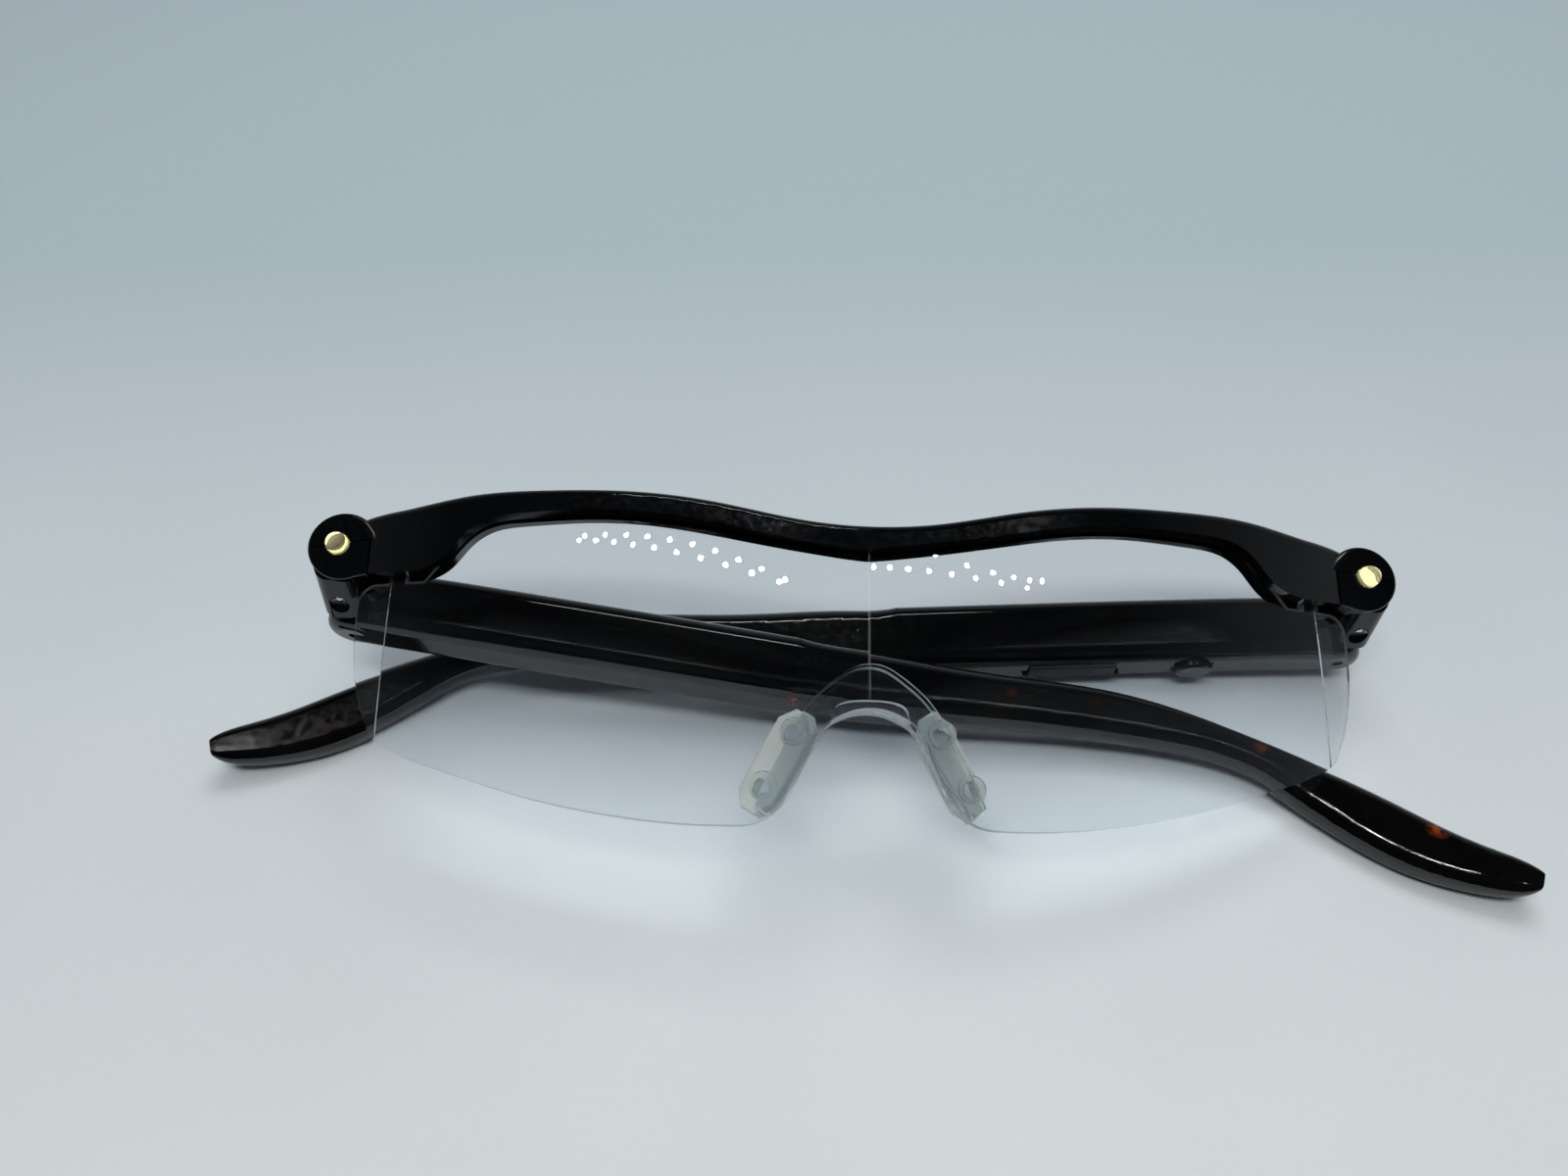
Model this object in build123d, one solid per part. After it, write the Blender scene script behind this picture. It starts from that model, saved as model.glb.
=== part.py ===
from build123d import *
import copy
import math
import os

# Lighted magnifier glasses, lying on their back with both arms folded, lens side up.
# Lengths are in millimetres and angles in degrees.
# The pieces are drawn in the worn frame: X is the viewer's right, Y runs back to the
# wearer's ears and Z is the wearer's up. The origin lies midway between the two lamps,
# at the depth of the lamp faces. At the end everything is turned into its lying pose.
# Left and right are the viewer's, as seen from in front of the lens.

# Front frame
lean_angle = 8.0            # the lens plane leans back at its foot
lens_front_r = 188.4        # the front curves about an upright axis behind it
lens_bow = 10.9             # from the lamp faces forward to the middle of the lens's front
brow_proud = 1.6            # how far the browbar's front stands off the lens's
front_axis_y = lens_front_r - lens_bow
brow_front_r = lens_front_r + brow_proud
overrun = 6.0               # how far cutting tools run past what they cut

# Across the front
lens_half = 69.6
head_past_lens = 2.13       # from the lens's side to the middle of a lamp head
brow_short = 3.73           # from the middle of a head in to the upright split beside it
lamp_out = 0.75             # a lamp's middle, outward of its head's
lamp_up = 0.3
pivot_out = 0.17            # a hinge's axis, outward of its head's middle
screw_out = 1.17
heel_in = 1.8               # the two sides of a heel, each from its head's middle
heel_out = 4.0
peg_in = 5.6                # from the lens's side to its pegs
head_x = lens_half + head_past_lens
brow_half = head_x - brow_short
lamp_x = head_x + lamp_out
pivot_x = head_x + pivot_out
screw_x = head_x + screw_out
peg_x = lens_half - peg_in

# Browbar
brow_depth = 7.4
brow_peak = 6.2             # highest point of the top edge
brow_foot = 4.35            # how far the tall ends reach down
brow_top_edge_r = 1.1
brow_top_shares = ((0.0, 0.14), (0.13, 0.25), (0.30, 0.64), (0.47, 0.91),
                   (0.64, 1.0), (0.80, 0.97), (0.93, 0.77), (1.03, 0.58))
brow_low_shares = ((0.0, -0.38), (0.13, -0.21), (0.29, 0.11), (0.43, 0.38), (0.56, 0.48),
                   (0.68, 0.46), (0.755, 0.36), (0.80, 0.03), (0.835, -0.42), (0.88, -0.66))

# Lens
lens_back_r = 520.0         # each eye's zone, flatter than the front, so it magnifies
lens_thick = 3.8            # at the middle of each eye's zone
lens_eye_x = 33.0
land_wide = 4.6             # plain strip down each side of the lens, which doesn't magnify
land_thick = 2.4
lens_mid_z = -17.0
lens_foot = 37.85           # lowest part of the outline, beside the nose
lens_shoulder_z = -5.4      # top edge outside the browbar
lens_corner_r = 2.6
lens_top_shares = ((0.0, -0.15), (0.19, 0.16), (0.38, 0.56), (0.60, 0.74), (0.74, 0.66))
lens_step_shares = ((0.835, -0.5), (0.862, -0.87))
lens_side_shares = ((1.0, 0.215), (0.995, 0.40), (0.968, 0.60), (0.947, 0.68))
lens_base_shares = ((0.895, 0.755), (0.79, 0.825), (0.625, 0.915), (0.445, 0.977), (0.27, 1.0))
notch_shares = ((0.195, 0.985), (0.144, 0.905), (0.107, 0.77), (0.072, 0.66), (0.0, 0.585))
slot_gap = 0.1              # between the lens edge and the slot that holds it
peg_wide = 2.4
peg_tall = 2.2

# Nose bracket and pads
bracket_lip = 1.1           # how far the clear channel stands off the lens's front
bracket_depth = 5.6
bracket_outer_shares = ((0.0, 0.465), (0.055, 0.505), (0.100, 0.575), (0.133, 0.66),
                        (0.172, 0.80), (0.205, 0.935))
bracket_inner_shares = ((0.183, 0.975), (0.145, 0.885), (0.110, 0.765), (0.083, 0.675),
                        (0.045, 0.632), (0.0, 0.615))
pad_long = 14.5
pad_wide = 7.0
pad_thick = 1.7
pad_corner = 2.0
pad_edge_r = 0.5
pad_x_share = 0.163         # middle of a pad, as shares of the lens's half width and foot
pad_z_share = 0.772
pad_x = pad_x_share * lens_half
pad_z = -pad_z_share * lens_foot
pad_set_back = 3.4          # from the back of the bracket's leg to the pad's middle
pad_splay = 29.0            # lean of the pad's long side in front view
pad_turn = 38.0             # how far the pad turns to face the nose
pad_rake = 8.0
stud_r = 1.1
stud_spacing = 7.8
boss_r = 1.8
boss_sink = 2.2             # how deep a stud's boss runs into the bracket
boss_stand = 0.8            # how far a boss stands out of the bracket's back

# Lamp heads
head_z = -0.55
head_r = 4.8
head_face_y = -0.1
head_depth = 11.0
head_corner_z = -4.5        # bottom of the square inner corner
head_edge_r = 0.4
head_split_slope = 10.0
split_gap = 0.15
heel_drop = 5.5             # how far the lower cover's rear reaches below the head
heel_start = 1.0
heel_edge_r = 2.0
head_rear_gap = 0.6         # between the head's rear and the hinge knuckle
tongue_root = 0.9           # how far the hinge tongue runs into the cover
lamp_z = head_z + lamp_up
lamp_r = 1.5
lamp_fit = 0.12
lamp_stand = 0.35           # the straight part of the dome in front of the head's face
lamp_body = 2.8
flange_r = 1.9
flange_thick = 0.6
chip_r = 1.0
chip_thick = 0.9
board_r = 2.4
board_thick = 0.8
solder_room = 0.5           # behind the lamp's board
screw_set_back = 5.3        # from the head's face
screw_head_r = 1.25
screw_head_thick = 0.8
screw_shank_r = 0.7
screw_long = 7.6
screw_sunk = 0.35
screw_fit = 0.12
drive_r = 0.7
drive_deep = 0.4

# Hinges
pivot_y = 13.4
pivot_z = -3.9
knuckle_r = 4.2
tongue_r = 2.6
tongue_tall = 3.4
hinge_side_gap = 0.15
hinge_round_gap = 0.35
pin_r = 0.8
pin_bore_gap = 0.05
pin_sunk = 0.5
cant_left = 7.9            # sideways tilt of the hinge axis, so the folded arms stack
cant_right = 0.9
fold_left = 89.5
fold_right = 84.0

# Arms
arm_inner = 3.9             # pivot to inner face
arm_outer = 4.3             # pivot to outer face
arm_tall = 9.6
arm_edge_r = 2.3
knuckle_edge_r = 2.0
arm_wall = 1.2
arm_long = 164.0            # pivot to tip
seam_along = 63.3           # pivot to the upright seam
ear_bow = 7.5               # how far the tip curves in towards the head
ear_bow_start = 105.0
ear_drop = 17.6
# Each row: distance along, drop of the middle, height and thickness, as shares of the
# arm's length, drop, height and thickness, and the slope of the arm there in degrees.
ear_shares = ((0.450, -0.001, 0.982, 0.965, 0.0), (0.520, -0.014, 0.90, 0.84, 0.0),
              (0.595, -0.040, 0.80, 0.69, 0.0), (0.672, -0.045, 0.74, 0.61, -5.0),
              (0.746, 0.045, 0.56, 0.58, -16.0), (0.807, 0.230, 0.57, 0.57, -26.0),
              (0.856, 0.470, 0.80, 0.58, -28.0), (0.905, 0.715, 0.88, 0.58, -25.0),
              (0.954, 0.900, 0.73, 0.53, -20.0), (0.980, 0.965, 0.60, 0.46, -17.0),
              (0.993, 0.995, 0.46, 0.36, -17.0), (1.0, 1.010, 0.28, 0.22, -17.0))
section_round_share = 0.42
round_from_share = 0.60     # past this share of the arm's length, sections are as round as that

# Inner covers of the arms
cover_start = 7.0           # pivot to the cover's front edge
cover_thick = 1.2
cover_lip = 0.7             # strip of the arm left below the cover
seam_gap = 0.12

# Battery in the left arm
bay_start = 9.0
bay_end_wall = 2.6
inner_gap = 0.2
cell_start = 14.0
cell_long = 38.0
cell_edge_r = 1.2
tab_wide = 1.4
tab_long = 2.4
tab_thick = 0.3
tab_spacing = 3.6

# Circuit board, switch and socket in the right arm
pcb_start = 11.0
pcb_long = 44.0
pcb_low = 0.5               # underside of the board, above the arm's middle
pcb_thick = 0.8
switch_wide = 4.4
switch_tall = 2.4
switch_well_r = 1.1
switch_well_deep = 1.3
socket_along = 7.4
socket_across = 2.7
socket_wall = 0.35
socket_tongue_thick = 0.6
socket_fit = 0.15
socket_sunk = 0.25          # mouth of the socket, above the floor of the cover's recess
socket_corner = 0.7
chip_long = 5.0
chip_wide = 4.0
chip_tall = 1.1
chip_along = 46.0

# Power button on the lower edge of the right arm
button_along = 21.8
button_r = 2.4
button_fit = 0.1
button_stand = 1.0
button_crown_r = 0.4
button_flange_r = 2.75
button_flange = 0.7
button_stem_r = 0.8
button_stem = 1.2
button_dish = 0.4
button_dish_r = 3.0

# Cover of the charging socket, also on the lower edge
flap_along = 38.8
flap_long = 12.0
flap_wide = 3.6
flap_thick = 1.1
flap_stand = 0.5            # how far the closed cover stands out of the arm's lower edge
flap_gap = 0.15
flap_edge_r = 0.3
lug_thick = 0.6
port_pin_r = 0.3
port_pin_gap = 0.05

# Lying pose: turns about X and Y that bring the three resting points level
lie_pitch = -70.91
lie_roll = 3.66


def drum(radius):
    """A tall drum about the front's upright axis."""
    return Pos(0, front_axis_y, 0) * Cylinder(radius, 4 * lens_foot)


def front_prism(face):
    """A face drawn in X and Z, carried far along Y."""
    return extrude(Plane.XZ * face, amount=front_axis_y, both=True)


def slab(low, high):
    """A wide box between two depths."""
    return Pos(0, (low + high) / 2, 0) * Box(4 * lens_half, high - low, 4 * lens_foot)


def scaled(shares, wide, tall):
    """Points from shares of a width and a height."""
    return [(wide * x, tall * z) for x, z in shares]


def whole_face(*edges):
    """A face from the edges of its right half, closed down the centre line."""
    half = make_face(Curve() + list(edges))
    return half + mirror(half, Plane.YZ)


def pair(shape):
    """The right-hand shape and its mirror image, left first."""
    return mirror(shape, Plane.YZ), shape


def lens_outline(grow):
    """The lens from in front, with its top and sides grown by the slot's gap."""
    top = [(x, z + grow) for x, z in scaled(lens_top_shares, lens_half, brow_peak)]
    step = [(x + grow, z + grow) for x, z in scaled(lens_step_shares, lens_half, brow_peak)]
    shoulder = (lens_half - lens_corner_r, lens_shoulder_z)
    side = scaled(lens_side_shares, lens_half, -lens_foot)
    base = scaled(lens_base_shares, lens_half, -lens_foot)
    notch = scaled(notch_shares, lens_half, -lens_foot)
    return whole_face(
        Spline(*top, tangents=((1, 0), (1, -0.7))),
        Polyline(top[-1], *step, (step[-1][0] + grow, lens_shoulder_z), shoulder),
        TangentArc(shoulder, side[0], tangent=(1, 0)),
        Spline(*side),
        Spline(side[-1], base[0], tangents=((-0.3, -1), (-1, -0.45))),
        Spline(*base, tangents=((-1, -0.45), (-1, 0))),
        Spline(base[-1], *notch, tangents=((-1, 0), (-1, 0))),
        Line(notch[-1], top[0]),
    )


def back_ball(side):
    """The part, on one side of the middle, of the ball that shapes an eye's back."""
    turn = math.asin(lens_eye_x / lens_front_r)
    reach = lens_front_r - lens_thick - lens_back_r
    x = side * math.sin(turn) * reach
    y = front_axis_y - math.cos(turn) * reach
    zone = lens_half - land_wide
    room = Pos(side * zone / 2, 0, 0) * Box(zone, 4 * lens_half, 6 * lens_foot)
    return Pos(x, y, lens_mid_z) * Sphere(lens_back_r) & room


def land_ball(side):
    """The ball that shapes the back of the plain strip down one side of the lens."""
    start = lens_half - land_wide
    room = Box(2 * lens_half, 4 * lens_half, 6 * lens_foot)
    ball = Pos(0, front_axis_y, lens_mid_z) * Sphere(lens_front_r - land_thick)
    return ball & Pos(side * (start + lens_half), 0, 0) * room


def lens_sheet(grow):
    """The lens's thickness, far past its outline."""
    front = Pos(0, front_axis_y, lens_mid_z) * Sphere(lens_front_r + grow)
    room = Box(3 * lens_half, lens_half, 5 * lens_foot)
    sheet = room & front
    for side in (-1, 1):
        sheet -= Pos(0, grow, 0) * back_ball(side)
        sheet -= Pos(0, grow, 0) * land_ball(side)
    return sheet


def peg_face(side, grow):
    """The small peg that stands up into the browbar beside a lamp head."""
    peg = Rectangle(peg_wide + 2 * grow, 2 * peg_tall + 2 * grow)
    return Pos(side * peg_x, lens_shoulder_z) * peg


def lens(grow=0):
    """The one-piece lens, or the slot that it needs."""
    face = lens_outline(grow)
    for side in (-1, 1):
        face += peg_face(side, grow)
    return front_prism(face) & lens_sheet(grow)


def brow_outline():
    top = scaled(brow_top_shares, brow_half, brow_peak)
    low = scaled(brow_low_shares, brow_half, brow_peak)
    foot = (brow_half, -brow_foot)
    step_z = head_z + head_r / 2
    return whole_face(
        Spline(*top, tangents=((1, 0), (1, -0.28))),
        Polyline(top[-1], (top[-1][0], step_z), (brow_half, step_z), foot),
        Spline(foot, *reversed(low), tangents=((-1, 0), (-1, 0)), tangent_scalars=(1, 0.5)),
        Line(low[0], top[0]),
    )


def brow_bar():
    """The wavy bar between the two heads, with its edges rounded."""
    bar = front_prism(brow_outline()) & drum(brow_front_r)
    bar -= drum(brow_front_r - brow_depth)
    long_edges = bar.edges().filter_by(lambda e: e.length > brow_half)
    top_edges = long_edges.sort_by(Axis.Z)[-2:]
    return fillet(top_edges, brow_top_edge_r)


def head_block():
    """A whole lamp head before it is split: a disc with one square inner corner."""
    corner = make_face(Polyline((brow_half, head_z), (brow_half, head_corner_z),
                                (head_x, head_z - head_r), (head_x, head_z), close=True))
    face = Pos(head_x, head_z) * Circle(head_r) + corner
    block = front_prism(face) & slab(head_face_y, head_face_y + head_depth)
    return fillet(block.edges().group_by(Axis.Y)[0], head_edge_r)


def above_split(gap):
    """The room above the sloping split through the lamp."""
    tall = 4 * head_r
    room = Pos(0, 0, (tall + gap) / 2) * Box(tall, front_axis_y, tall)
    return Pos(lamp_x, 0, lamp_z) * Rot(0, head_split_slope, 0) * room


def below_split(gap):
    tall = 4 * head_r
    room = Pos(0, 0, -(tall + gap) / 2) * Box(tall, front_axis_y, tall)
    return Pos(lamp_x, 0, lamp_z) * Rot(0, head_split_slope, 0) * room


def post(radius, low, high):
    """An upright cylinder between two heights."""
    return Pos(0, 0, (low + high) / 2) * Cylinder(radius, high - low)


def along_y(shape):
    """Turns a shape drawn on Z so that it runs back along Y."""
    return Rot(-90, 0, 0) * shape


def flange_y():
    """Where the lamp's flange starts, in depth."""
    return head_face_y - lamp_stand + lamp_body


def lamp_back_y():
    """Where the lamp's moulding ends and its board starts."""
    return flange_y() + flange_thick


def at_lamp(shape):
    """Puts a shape drawn on Z, with heights as depths, on the lamp's axis."""
    return Pos(lamp_x, 0, lamp_z) * along_y(shape)


def lamp_bore():
    """The room inside a head for the lamp, its flange and its board."""
    bore = post(lamp_r + lamp_fit, head_face_y - overrun, flange_y())
    bay = post(board_r + lamp_fit, flange_y(), lamp_back_y() + board_thick + solder_room)
    return at_lamp(bore + bay)


def lamp_dome():
    """The clear moulded dome, hollow at the back for the lit chip."""
    front = head_face_y - lamp_stand
    dome = post(lamp_r, front, flange_y()) + Pos(0, 0, front) * Sphere(lamp_r)
    dome += post(flange_r, flange_y(), lamp_back_y())
    return at_lamp(dome - post(chip_r, lamp_back_y() - chip_thick, lamp_back_y()))


def lamp_chip():
    return at_lamp(post(chip_r, lamp_back_y() - chip_thick, lamp_back_y()))


def lamp_board():
    return at_lamp(post(board_r, lamp_back_y(), lamp_back_y() + board_thick))


def heel_foot_at(depth):
    """Height of the heel's sloping underside at a depth."""
    start = head_z - head_r + split_gap
    fall = (heel_drop + split_gap) / (head_face_y + head_depth - heel_start)
    return start - fall * (depth - heel_start)


def cover_screw():
    """The small screw that holds a head's lower cover up to the browbar."""
    depth = head_face_y + screw_set_back
    low = heel_foot_at(depth) + screw_sunk
    neck = low + screw_head_thick
    screw = post(screw_head_r, low, neck) + post(screw_shank_r, neck, neck + screw_long)
    screw -= post(drive_r, low, low + drive_deep)
    return Pos(screw_x, depth, 0) * screw


def screw_room():
    """The hole for the screw, open below its head."""
    depth = head_face_y + screw_set_back
    neck = heel_foot_at(depth) + screw_sunk + screw_head_thick
    room = post(screw_head_r + screw_fit, neck - overrun, neck)
    room += post(screw_shank_r, neck, neck + screw_long)
    return Pos(screw_x, depth, 0) * room


def heel():
    """The lower cover's rear, which runs down to meet the arm."""
    rear = head_face_y + head_depth
    top = lamp_z
    side = make_face(Polyline((heel_start, heel_foot_at(heel_start)), (rear, heel_foot_at(rear)),
                              (rear, top), (heel_start, top), close=True))
    body = extrude(Plane.YZ * side, amount=heel_in + heel_out)
    body = fillet(body.edges().sort_by(Axis.Z)[1:3], heel_edge_r)
    return Pos(head_x - heel_in, 0, 0) * body


def tongue():
    """The hinge tongue on the head, drawn about the hinge axis, running forward."""
    reach = pivot_y
    plate = Cylinder(tongue_r, tongue_tall)
    plate += Pos(0, -reach / 2, 0) * Box(2 * tongue_r, reach, tongue_tall)
    return plate - Cylinder(pin_r + pin_bore_gap, 2 * tongue_tall)


def lean(shape):
    """Leans a piece of the front back at its foot."""
    return Rot(lean_angle, 0, 0) * shape


def at_pivot(shape, side, cant):
    """Puts a hinge piece, drawn about the hinge axis, at its canted place."""
    return Pos(side * pivot_x, pivot_y, pivot_z) * Rot(0, -side * cant, 0) * shape


def head_rear():
    return pivot_y - knuckle_r - head_rear_gap


def rear_room():
    """Everything in front of the heads' rear faces."""
    return slab(head_rear() - front_axis_y, head_rear())


def browbar():
    """The bar with the upper halves of both heads, the lens slot and the screw bores."""
    bar = brow_bar()
    for head in pair(head_block() & above_split(split_gap)):
        bar += head
    for cut in pair(lamp_bore() + screw_room()):
        bar -= cut
    bar -= lens(slot_gap)
    return lean(bar) & rear_room()


def head_cover(side, cant):
    """The lower half of a head, which carries the hinge tongue."""
    inboard = Pos(brow_half + split_gap - lens_half, 0, 0)
    cover = head_block() - inboard * Box(2 * lens_half, front_axis_y, 4 * head_r)
    cover = (cover + heel()) & below_split(split_gap)
    cover -= lamp_bore() + screw_room()
    if side < 0:
        cover = mirror(cover, Plane.YZ)
    cover = lean(cover) & rear_room()
    behind = slab(head_rear() - tongue_root, head_rear() + front_axis_y)
    return cover + (at_pivot(tongue(), side, cant) & behind)


def bracket_face():
    outer = scaled(bracket_outer_shares, lens_half, -lens_foot)
    inner = scaled(bracket_inner_shares, lens_half, -lens_foot)
    return whole_face(
        Spline(*outer, tangents=((1, 0), (0.4, -1))),
        Line(outer[-1], inner[0]),
        Spline(*inner, tangents=((-0.5, 1), (-1, 0))),
        Line(inner[-1], outer[0]),
    )


def stud_places():
    """Where a pad's two studs stand, in X and Z, on the right."""
    turn = math.radians(pad_splay)
    half = stud_spacing / 2
    return [(pad_x - up * half * math.sin(turn), pad_z + up * half * math.cos(turn))
            for up in (1, -1)]


def bracket_back_y():
    return front_axis_y - math.sqrt((lens_front_r + bracket_lip - bracket_depth) ** 2 - pad_x ** 2)


def nose_bracket():
    """The clear saddle that grips the lens's notch and carries the two pads."""
    outside = lens_front_r + bracket_lip
    bracket = front_prism(bracket_face()) & drum(outside)
    bracket -= drum(outside - bracket_depth)
    back = bracket_back_y()
    boss = post(boss_r, back - boss_sink, back + boss_stand)
    boss += post(stud_r, back, back + pad_set_back + pad_thick)
    for x, z in stud_places():
        for piece in pair(Pos(x, 0, z) * along_y(boss)):
            bracket += piece
    return lean(bracket - lens())


def nose_pad():
    """A soft eight-sided plate, turned to lie on the side of the nose."""
    face = chamfer(Rectangle(pad_wide, pad_long).vertices(), pad_corner)
    plate = extrude(Plane.XZ * face, amount=pad_thick / 2, both=True)
    levels = plate.edges().group_by(Axis.Y)
    plate = fillet(levels[0] + levels[-1], pad_edge_r)
    plate = Rot(0, -pad_splay, 0) * Rot(pad_rake, 0, 0) * Rot(0, 0, pad_turn) * plate
    return Pos(pad_x, bracket_back_y() + pad_set_back, pad_z) * plate


def nose_pads(bracket):
    return [lean(pad) - bracket for pad in pair(nose_pad())]


def ear_bow_at(along):
    past = max(along - ear_bow_start, 0) / (arm_long - ear_bow_start)
    return ear_bow * past ** 2


def arm_section(along, middle, tall, thick, slope, radius):
    """A rounded section of the arm, square to its run."""
    inner = -arm_inner - ear_bow_at(along)
    run = math.radians(slope)
    plane = Plane(origin=(inner + thick / 2, along, middle), x_dir=(1, 0, 0),
                  z_dir=(0, math.cos(run), math.sin(run)))
    return plane * RectangleRounded(thick, tall, radius)


def section_radius(along, height, depth):
    """Corner radius of a section, growing from the housing's own behind the seam."""
    full = section_round_share * min(height, depth)
    blend = min((along - seam_along) / (round_from_share * arm_long - seam_along), 1)
    return arm_edge_r + blend * (full - arm_edge_r)


def ear_hook():
    """The slim rear of the arm, from the seam to the tip."""
    wide = arm_inner + arm_outer
    sections = [arm_section(seam_along, 0, arm_tall, wide, 0, arm_edge_r)]
    for along, drop, tall, thick, slope in ear_shares:
        height = tall * arm_tall
        depth = thick * wide
        past = along * arm_long
        radius = section_radius(past, height, depth)
        sections.append(arm_section(past, -drop * ear_drop, height, depth, slope, radius))
    return loft(sections)


def housing():
    """The straight front of the arm, solid."""
    wide = arm_inner + arm_outer
    start = arm_section(0, 0, arm_tall, wide, 0, arm_edge_r)
    return extrude(start, amount=seam_along)


def along_box(low, high, inner, outer, foot, top):
    """A box in the arm's own frame, from its limits along, across and up."""
    middle = Pos((inner + outer) / 2, (low + high) / 2, (foot + top) / 2)
    return middle * Box(outer - inner, high - low, top - foot)


def cover_room(gap):
    """The room of the inner cover panel, or of the recess that takes it."""
    return along_box(cover_start - gap, seam_along, -arm_inner - overrun, -arm_inner + cover_thick,
                     -arm_tall / 2 + cover_lip - gap, arm_tall)


def arm_bay():
    """The hollow of the arm, behind its inner cover."""
    half = arm_tall / 2 - arm_wall
    return along_box(bay_start, seam_along - bay_end_wall, -arm_inner + cover_thick,
                     arm_outer - arm_wall, -half, half)


def hinge_slot():
    """The room that the head's tongue needs as the arm swings."""
    edge = tongue_r + hinge_round_gap
    tall = tongue_tall / 2 + hinge_side_gap
    return along_box(-arm_tall, edge, -arm_tall, edge, -tall, tall)


def hinge_pin():
    return Cylinder(pin_r, arm_tall - 2 * pin_sunk)


def arm_blank(cant):
    """The arm with its knuckle, hinge slot and pin bore, before its inside is cut."""
    knuckle = Cylinder(knuckle_r, arm_tall)
    knuckle = fillet(knuckle.edges().filter_by(GeomType.CIRCLE), knuckle_edge_r)
    tilt = Rot(0, -cant, 0)
    blank = housing() + ear_hook() + tilt * knuckle
    return blank - tilt * (hinge_slot() + Cylinder(pin_r, 2 * arm_tall))


def arm_shell(cant):
    return arm_blank(cant) - cover_room(seam_gap) - arm_bay()


def arm_cover():
    """The flat inner panel, flush with the arm's inner face."""
    panel = housing() & cover_room(0)
    end = along_box(seam_along - seam_gap, seam_along + overrun, -arm_tall, arm_tall,
                    -arm_tall, arm_tall)
    return panel - end


def arm_middle():
    """Middle of the arm's thickness, out from the pivot."""
    return (arm_outer - arm_inner) / 2


def battery_cell():
    half = arm_tall / 2 - arm_wall - inner_gap
    cell = along_box(cell_start, cell_start + cell_long, -arm_inner + cover_thick + inner_gap,
                     arm_outer - arm_wall - inner_gap, -half, half)
    return fillet(cell.edges().filter_by(Axis.Y), cell_edge_r)


def battery_tabs():
    """The two metal tabs at the cell's front end, one above the other."""
    tabs = []
    for up in (1, -1):
        middle = Pos(arm_middle(), cell_start - tab_long / 2, up * tab_spacing / 2)
        tabs.append(middle * Box(tab_thick, tab_long, tab_wide))
    return Compound(children=tabs)


def circuit_board():
    return along_box(pcb_start, pcb_start + pcb_long, -arm_inner + cover_thick + inner_gap,
                     arm_outer - arm_wall - inner_gap, pcb_low, pcb_low + pcb_thick)


def control_chip():
    top = pcb_low + pcb_thick
    body = Box(chip_wide, chip_long, chip_tall)
    return Pos(arm_middle(), chip_along, top + chip_tall / 2) * body


def power_switch():
    """The push switch under the board, with a well that takes the button's stem."""
    body = Pos(0, 0, pcb_low - switch_tall / 2) * Box(switch_wide, switch_wide, switch_tall)
    foot = pcb_low - switch_tall
    body -= post(switch_well_r, foot, foot + switch_well_deep)
    return Pos(arm_middle(), button_along, 0) * body


def flap_recess_top():
    return -arm_tall / 2 + flap_thick - flap_stand + flap_gap


def socket_outline(grow):
    """The charging socket from below, with its two cut corners."""
    face = Rectangle(socket_across + 2 * grow, socket_along + 2 * grow)
    return chamfer(face.vertices().group_by(Axis.X)[-1], socket_corner)


def charge_socket():
    """A metal shell, open below, with a contact tongue inside."""
    foot = flap_recess_top() + socket_sunk
    tall = pcb_low - foot
    shell = extrude(socket_outline(0), amount=tall)
    shell -= extrude(socket_outline(-socket_wall), amount=tall - socket_wall)
    shell += along_box(-socket_along / 2 + 2 * socket_wall, socket_along / 2 - 2 * socket_wall,
                       -socket_tongue_thick / 2, socket_tongue_thick / 2, socket_wall, tall)
    return Pos(arm_middle(), flap_along, foot) * shell


def power_button():
    """The round button on the arm's lower edge, with its flange and stem inside."""
    end = -arm_tall / 2 - button_stand
    seat = -arm_tall / 2 + arm_wall + button_fit
    cap = post(button_r, end, seat)
    cap = fillet(cap.edges().group_by(Axis.Z)[0], button_crown_r)
    cap += post(button_flange_r, seat, seat + button_flange)
    cap += post(button_stem_r, seat, seat + button_flange + button_stem)
    return Pos(arm_middle(), button_along, 0) * cap


def flap_axis_across():
    return arm_middle() + flap_wide / 2 - flap_thick / 2


def flap_axis_z():
    return -arm_tall / 2 - flap_stand + flap_thick / 2


def on_flap_hinge(radius, long):
    """A cylinder on the flap's hinge axis, which runs along the arm."""
    return Pos(flap_axis_across(), flap_along, flap_axis_z()) * along_y(post(radius, -long / 2, long / 2))


def port_cover():
    """The cover of the charging socket, hinged along its outer long side."""
    foot = -arm_tall / 2 - flap_stand
    plate = along_box(flap_along - flap_long / 2, flap_along + flap_long / 2,
                      arm_middle() - flap_wide / 2, flap_axis_across(), foot, foot + flap_thick)
    plate = fillet(plate.edges().group_by(Axis.X)[0].group_by(Axis.Z)[0], flap_edge_r)
    cover = plate + on_flap_hinge(flap_thick / 2, flap_long)
    return cover - on_flap_hinge(port_pin_r + port_pin_gap, 2 * flap_long)


def port_pin():
    return on_flap_hinge(port_pin_r, flap_long + 2 * flap_gap + 2 * lug_thick)


def port_lugs():
    """The two small ears on the arm that hold the ends of the port cover's pin."""
    lug = on_flap_hinge(flap_thick / 2, lug_thick)
    lug += along_box(flap_along - lug_thick / 2, flap_along + lug_thick / 2,
                     flap_axis_across() - flap_thick / 2, flap_axis_across() + flap_thick / 2,
                     flap_axis_z(), flap_recess_top())
    shift = flap_long / 2 + flap_gap + lug_thick / 2
    return Pos(0, shift, 0) * lug + Pos(0, -shift, 0) * lug


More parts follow.
